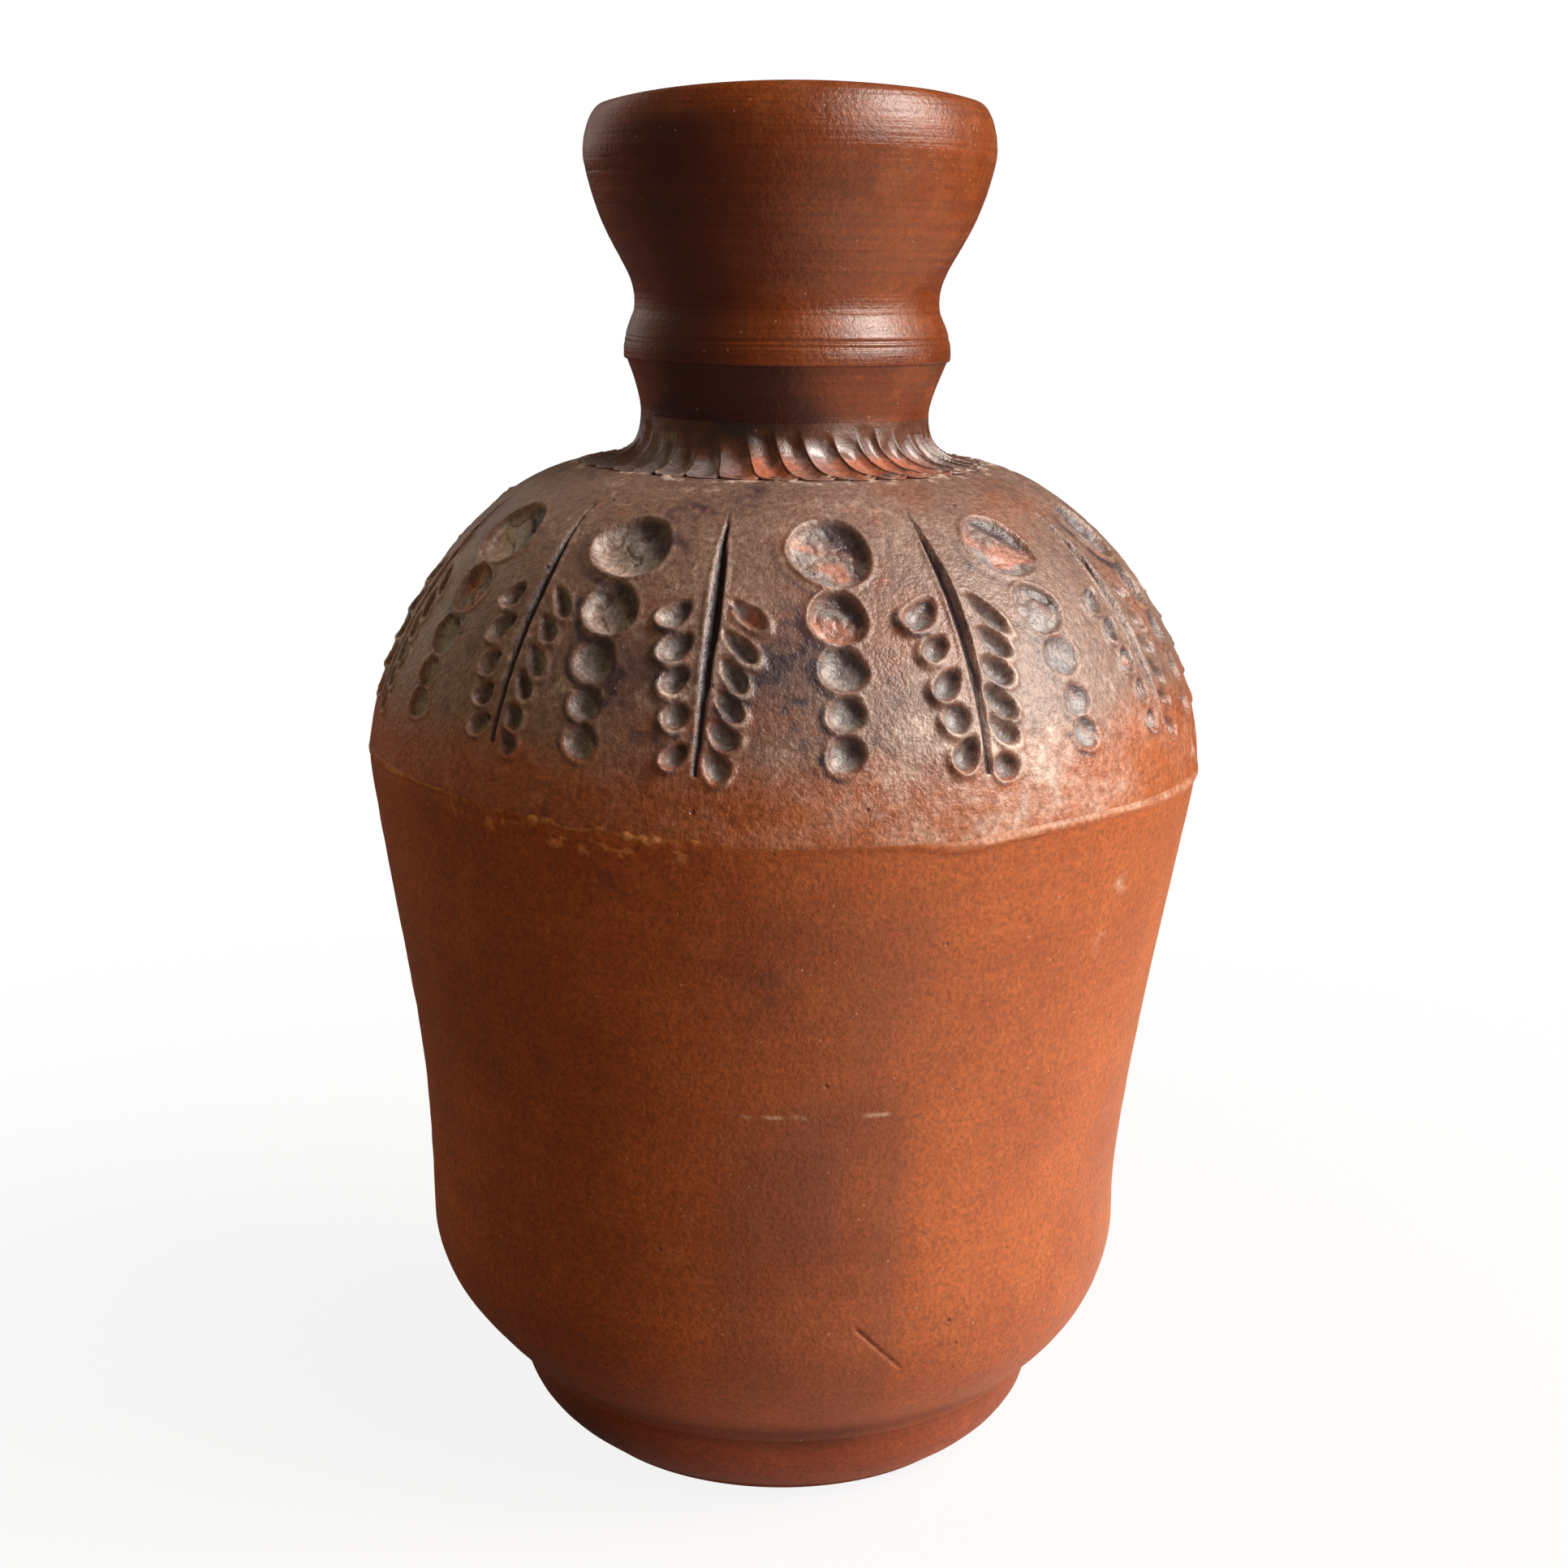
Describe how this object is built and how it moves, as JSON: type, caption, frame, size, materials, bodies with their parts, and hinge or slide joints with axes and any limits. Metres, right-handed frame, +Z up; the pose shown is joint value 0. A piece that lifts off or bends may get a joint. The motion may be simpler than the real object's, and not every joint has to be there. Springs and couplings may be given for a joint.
{
  "type": "terracotta vase",
  "caption": "Round-shouldered terracotta vase with a fluted collar, ringed neck and flared mouth, with stamped dots and fronds around the shoulder, standing on a turned foot.",
  "frame": {"origin": "centre of the foot ring's resting plane", "axes": "+Z up along the axis that the vase was turned on; the vase is round, and the side seen in the picture faces -Y"},
  "size_m": [0.1492, 0.1492, 0.2412],
  "materials": {
    "foot_clay": "burnished terracotta, shaded by smoke",
    "inner_clay": "bare terracotta",
    "body_clay": "burnished orange terracotta",
    "seam_clay": "dry terracotta slip",
    "smoked_clay": "smoked terracotta with pressed prints",
    "collar_clay": "smoked terracotta with red patches",
    "neck_clay": "burnished red-brown terracotta"
  },
  "bodies": {
    "root": {"foot_ring": "foot_clay", "floor_disc": "inner_clay", "lower_body": "body_clay", "seam_coil": "seam_clay", "shoulder": "smoked_clay", "collar": "collar_clay", "neck": "neck_clay", "neck_ring": "neck_clay", "mouth_cup": "neck_clay", "lip": "neck_clay"}
  },
  "joints": []
}
